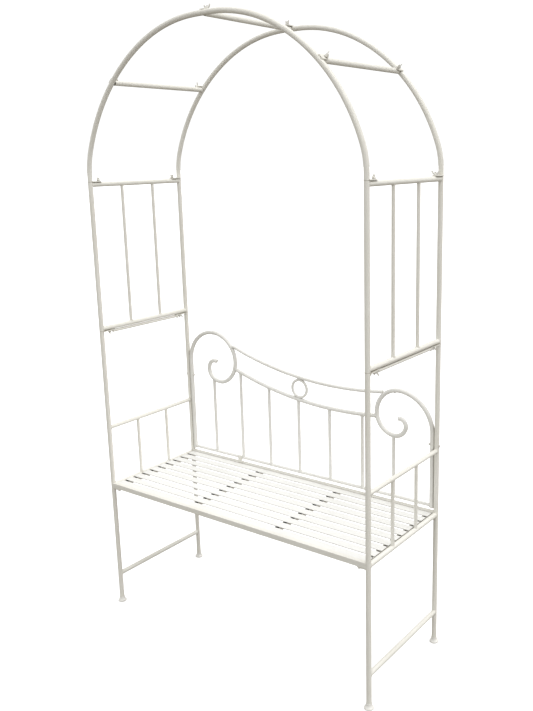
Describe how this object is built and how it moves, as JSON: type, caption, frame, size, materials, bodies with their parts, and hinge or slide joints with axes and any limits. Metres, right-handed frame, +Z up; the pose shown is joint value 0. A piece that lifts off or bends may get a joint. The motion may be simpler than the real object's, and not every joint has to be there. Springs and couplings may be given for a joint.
{
  "type": "garden arch bench",
  "caption": "Free-standing tubular steel garden arch with a slatted bench, scrolled backrest and ladder sides, for sitting under and for climbing plants.",
  "frame": {"origin": "centre of the footprint of the four feet, on the ground", "axes": "+Z up, +X along the bench to the right as seen from the front, +Y to the back; the open front faces -Y"},
  "size_m": [1.1, 0.443, 2.0121],
  "materials": {
    "frame": "cream powder coat, satin",
    "seat_slat": "cream powder coat, satin",
    "fastener": "cream painted bolts and wing nuts, satin",
    "foot_cap": "cream powder coat, satin"
  },
  "bodies": {
    "arch_frame": {"arch_ears": "frame", "armrest_spindles": "frame", "backrest_bolts_and_nuts": "fastener", "backrest_bottom_rail": "frame", "backrest_brackets": "frame", "backrest_left_scroll": "frame", "backrest_lower_rail": "frame", "backrest_right_scroll": "frame", "backrest_ring": "frame", "backrest_spindles": "frame", "backrest_top_rail": "frame", "foot_caps": "foot_cap", "frame_studs": "fastener", "front_left_arch_tube": "frame", "front_left_ladder_post": "frame", "front_left_leg": "frame", "front_right_arch_tube": "frame", "front_right_ladder_post": "frame", "front_right_leg": "frame", "ladder_rungs": "frame", "left_armrest_rail": "frame", "left_crossbar": "frame", "left_ladder_bottom_rail": "frame", "left_ladder_top_rail": "frame", "left_side_seat_rail": "frame", "left_side_stretcher": "frame", "lower_frame_top_rails": "frame", "post_tabs": "frame", "rear_left_arch_tube": "frame", "rear_left_ladder_post": "frame", "rear_left_leg": "frame", "rear_right_arch_tube": "frame", "rear_right_ladder_post": "frame", "rear_right_leg": "frame", "right_armrest_rail": "frame", "right_crossbar": "frame", "right_ladder_bottom_rail": "frame", "right_ladder_top_rail": "frame", "right_side_seat_rail": "frame", "right_side_stretcher": "frame", "seat_bolts": "fastener", "seat_front_rail": "frame", "seat_rear_rail": "frame", "seat_slats": "seat_slat", "seat_supports": "frame", "top_crossbar": "frame"},
    "front_left_crossbar_nut": {"front_left_crossbar_wing_nut": "fastener"},
    "front_left_lower_nut": {"front_left_lower_wing_nut": "fastener"},
    "front_left_upper_nut": {"front_left_upper_wing_nut": "fastener"},
    "front_right_crossbar_nut": {"front_right_crossbar_wing_nut": "fastener"},
    "front_right_lower_nut": {"front_right_lower_wing_nut": "fastener"},
    "front_right_upper_nut": {"front_right_upper_wing_nut": "fastener"},
    "front_top_crossbar_nut": {"front_top_crossbar_wing_nut": "fastener"},
    "rear_left_crossbar_nut": {"rear_left_crossbar_wing_nut": "fastener"},
    "rear_left_lower_nut": {"rear_left_lower_wing_nut": "fastener"},
    "rear_left_upper_nut": {"rear_left_upper_wing_nut": "fastener"},
    "rear_right_crossbar_nut": {"rear_right_crossbar_wing_nut": "fastener"},
    "rear_right_lower_nut": {"rear_right_lower_wing_nut": "fastener"},
    "rear_right_upper_nut": {"rear_right_upper_wing_nut": "fastener"},
    "rear_top_crossbar_nut": {"rear_top_crossbar_wing_nut": "fastener"}
  },
  "joints": [
    {"name": "front_left_crossbar_nut_turn", "type": "hinge", "parent": "arch_frame", "child": "front_left_crossbar_nut", "pos_m": [-0.40181, -0.1865, 1.83567], "axis": [-0.7145, 0, 0.6997], "continuous": true},
    {"name": "front_left_lower_nut_turn", "type": "hinge", "parent": "arch_frame", "child": "front_left_lower_nut", "pos_m": [-0.535, -0.1715, 1.0177], "axis": [0, 0, -1], "continuous": true},
    {"name": "front_left_upper_nut_turn", "type": "hinge", "parent": "arch_frame", "child": "front_left_upper_nut", "pos_m": [-0.535, -0.1715, 1.527], "axis": [0, 0, 1], "continuous": true},
    {"name": "front_right_crossbar_nut_turn", "type": "hinge", "parent": "arch_frame", "child": "front_right_crossbar_nut", "pos_m": [0.40181, -0.1865, 1.83567], "axis": [0.7145, 0, 0.6997], "continuous": true},
    {"name": "front_right_lower_nut_turn", "type": "hinge", "parent": "arch_frame", "child": "front_right_lower_nut", "pos_m": [0.535, -0.1715, 1.0177], "axis": [0, 0, -1], "continuous": true},
    {"name": "front_right_upper_nut_turn", "type": "hinge", "parent": "arch_frame", "child": "front_right_upper_nut", "pos_m": [0.535, -0.1715, 1.527], "axis": [0, 0, 1], "continuous": true},
    {"name": "front_top_crossbar_nut_turn", "type": "hinge", "parent": "arch_frame", "child": "front_top_crossbar_nut", "pos_m": [0, -0.1865, 1.9983], "axis": [0, 0, 1], "continuous": true},
    {"name": "rear_left_crossbar_nut_turn", "type": "hinge", "parent": "arch_frame", "child": "rear_left_crossbar_nut", "pos_m": [-0.40181, 0.1865, 1.83567], "axis": [-0.7145, 0, 0.6997], "continuous": true},
    {"name": "rear_left_lower_nut_turn", "type": "hinge", "parent": "arch_frame", "child": "rear_left_lower_nut", "pos_m": [-0.535, 0.1715, 1.0177], "axis": [0, 0, -1], "continuous": true},
    {"name": "rear_left_upper_nut_turn", "type": "hinge", "parent": "arch_frame", "child": "rear_left_upper_nut", "pos_m": [-0.535, 0.1715, 1.527], "axis": [0, 0, 1], "continuous": true},
    {"name": "rear_right_crossbar_nut_turn", "type": "hinge", "parent": "arch_frame", "child": "rear_right_crossbar_nut", "pos_m": [0.40181, 0.1865, 1.83567], "axis": [0.7145, 0, 0.6997], "continuous": true},
    {"name": "rear_right_lower_nut_turn", "type": "hinge", "parent": "arch_frame", "child": "rear_right_lower_nut", "pos_m": [0.535, 0.1715, 1.0177], "axis": [0, 0, -1], "continuous": true},
    {"name": "rear_right_upper_nut_turn", "type": "hinge", "parent": "arch_frame", "child": "rear_right_upper_nut", "pos_m": [0.535, 0.1715, 1.527], "axis": [0, 0, 1], "continuous": true},
    {"name": "rear_top_crossbar_nut_turn", "type": "hinge", "parent": "arch_frame", "child": "rear_top_crossbar_nut", "pos_m": [0, 0.1865, 1.9983], "axis": [0, 0, 1], "continuous": true}
  ]
}
